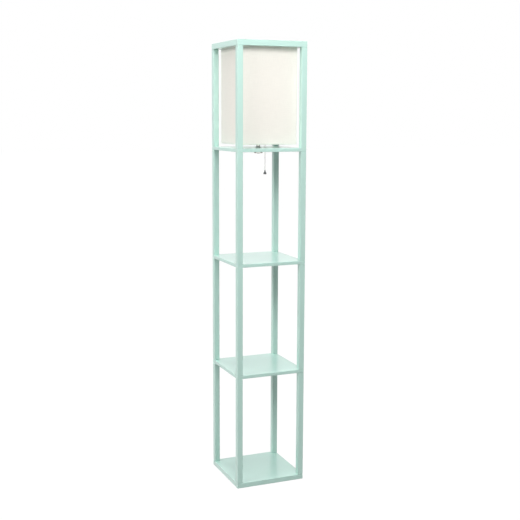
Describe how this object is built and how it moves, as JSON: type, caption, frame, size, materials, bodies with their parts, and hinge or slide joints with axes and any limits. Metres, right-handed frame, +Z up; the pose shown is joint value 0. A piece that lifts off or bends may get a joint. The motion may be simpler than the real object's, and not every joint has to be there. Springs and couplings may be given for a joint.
{
  "type": "floor lamp",
  "caption": "Open shelf floor lamp: square posts and boards, a linen box shade in the top bay, and a pull-chain lampholder with a bulb.",
  "frame": {"origin": "on the floor under the middle of the base, at the underside of the foot pads", "axes": "+Z up; the front is -Y and the pull chain hangs on the +X side of the lamp's axis"},
  "size_m": [0.26, 0.26, 1.594],
  "materials": {
    "mint_painted_wood": "satin paint",
    "zinc_steel": "zinc plated",
    "mint_plastic": "satin",
    "grey_rubber": "matt",
    "cream_linen": "plain woven linen",
    "white_styrene": "matt",
    "white_wire": "powder coat",
    "black_phenolic": "moulded",
    "brass": "plain",
    "polished_nickel": "polished",
    "brown_fibre": "pressed fibre",
    "dark_metal": "gunmetal",
    "opal_glass": "opal",
    "plain_aluminium": "rolled"
  },
  "bodies": {
    "lamp": {"base_board": "mint_painted_wood", "base_bolts": "zinc_steel", "bolt_plugs": "mint_plastic", "canopy_cap": "polished_nickel", "centre_contact": "brass", "chain_grommet": "polished_nickel", "cord_bushing": "black_phenolic", "foot_pads": "grey_rubber", "frame_bolts": "zinc_steel", "frame_rail_front": "mint_painted_wood", "frame_rail_left": "mint_painted_wood", "frame_rail_rear": "mint_painted_wood", "frame_rail_right": "mint_painted_wood", "lamp_post_front_left": "mint_painted_wood", "lamp_post_front_right": "mint_painted_wood", "lamp_post_rear_left": "mint_painted_wood", "lamp_post_rear_right": "mint_painted_wood", "lamp_shelf": "mint_painted_wood", "lever_pin": "zinc_steel", "lower_post_front_left": "mint_painted_wood", "lower_post_front_right": "mint_painted_wood", "lower_post_rear_left": "mint_painted_wood", "lower_post_rear_right": "mint_painted_wood", "lower_shelf": "mint_painted_wood", "middle_post_front_left": "mint_painted_wood", "middle_post_front_right": "mint_painted_wood", "middle_post_rear_left": "mint_painted_wood", "middle_post_rear_right": "mint_painted_wood", "nipple": "brass", "post_inserts": "zinc_steel", "post_studs": "zinc_steel", "return_spring": "zinc_steel", "screw_shell": "brass", "shade_carrier": "white_wire", "shade_fabric": "cream_linen", "shade_liner": "white_styrene", "shade_ring_nut": "black_phenolic", "shade_top_wire": "white_wire", "shelf_locknut": "zinc_steel", "shelf_washer": "zinc_steel", "socket_cap": "polished_nickel", "socket_liner": "brown_fibre", "socket_shell": "polished_nickel", "switch_body": "black_phenolic", "terminal_screws": "brass", "upper_post_front_left": "mint_painted_wood", "upper_post_front_right": "mint_painted_wood", "upper_post_rear_left": "mint_painted_wood", "upper_post_rear_right": "mint_painted_wood", "upper_shelf": "mint_painted_wood", "wheel_axle": "zinc_steel"},
    "lever": {"switch_lever": "zinc_steel"},
    "chain_upper": {"pull_chain_upper": "polished_nickel"},
    "wheel": {"ratchet_wheel": "brass"},
    "chain_bead": {"pull_chain_bead": "polished_nickel"},
    "chain_lower": {"pull_chain_lower": "polished_nickel", "pull_knob": "dark_metal"},
    "bulb_foot": {"bulb_contact": "black_phenolic"},
    "bulb": {"bulb_glass": "opal_glass", "bulb_base": "plain_aluminium"}
  },
  "joints": [
    {"name": "switch_lever", "type": "hinge", "parent": "lamp", "child": "lever", "pos_m": [0.006, 0, 1.2567], "axis": [0, 1, 0], "range_deg": [0, 24], "stiffness_Nm_per_rad": 0.25, "springref_deg": -5.73, "deforming": ["return_spring"]},
    {"name": "chain_hook", "type": "hinge", "parent": "lever", "child": "chain_upper", "pos_m": [0.0266, 0, 1.26108], "axis": [0, 1, 0], "range_deg": [-24, 0]},
    {"name": "ratchet_wheel", "type": "hinge", "parent": "lamp", "child": "wheel", "pos_m": [-0.0034, 0, 1.2567], "axis": [0, 1, 0], "range_deg": [-45, 0]},
    {"name": "chain_swing_sideways", "type": "hinge", "parent": "chain_upper", "child": "chain_bead", "pos_m": [0.0266, 0, 1.20898], "axis": [1, 0, 0], "range_deg": [-45, 45]},
    {"name": "chain_swing_lengthwise", "type": "hinge", "parent": "chain_bead", "child": "chain_lower", "pos_m": [0.0266, 0, 1.20898], "axis": [0, 1, 0], "range_deg": [-45, 45]},
    {"name": "bulb_rise", "type": "slide", "parent": "lamp", "child": "bulb_foot", "axis": [0, 0, 1], "range_m": [0, 0.0109]},
    {"name": "bulb_turn", "type": "hinge", "parent": "bulb_foot", "child": "bulb", "pos_m": [0, 0, 1.2759], "axis": [0, 0, 1], "range_deg": [0, 1080]}
  ],
  "couplings": [
    {"joint": "chain_hook", "follows": "switch_lever", "ratio": -1},
    {"joint": "ratchet_wheel", "follows": "switch_lever", "ratio": -1.875},
    {"joint": "bulb_rise", "follows": "bulb_turn", "m_per_rad": 0.0005775}
  ]
}
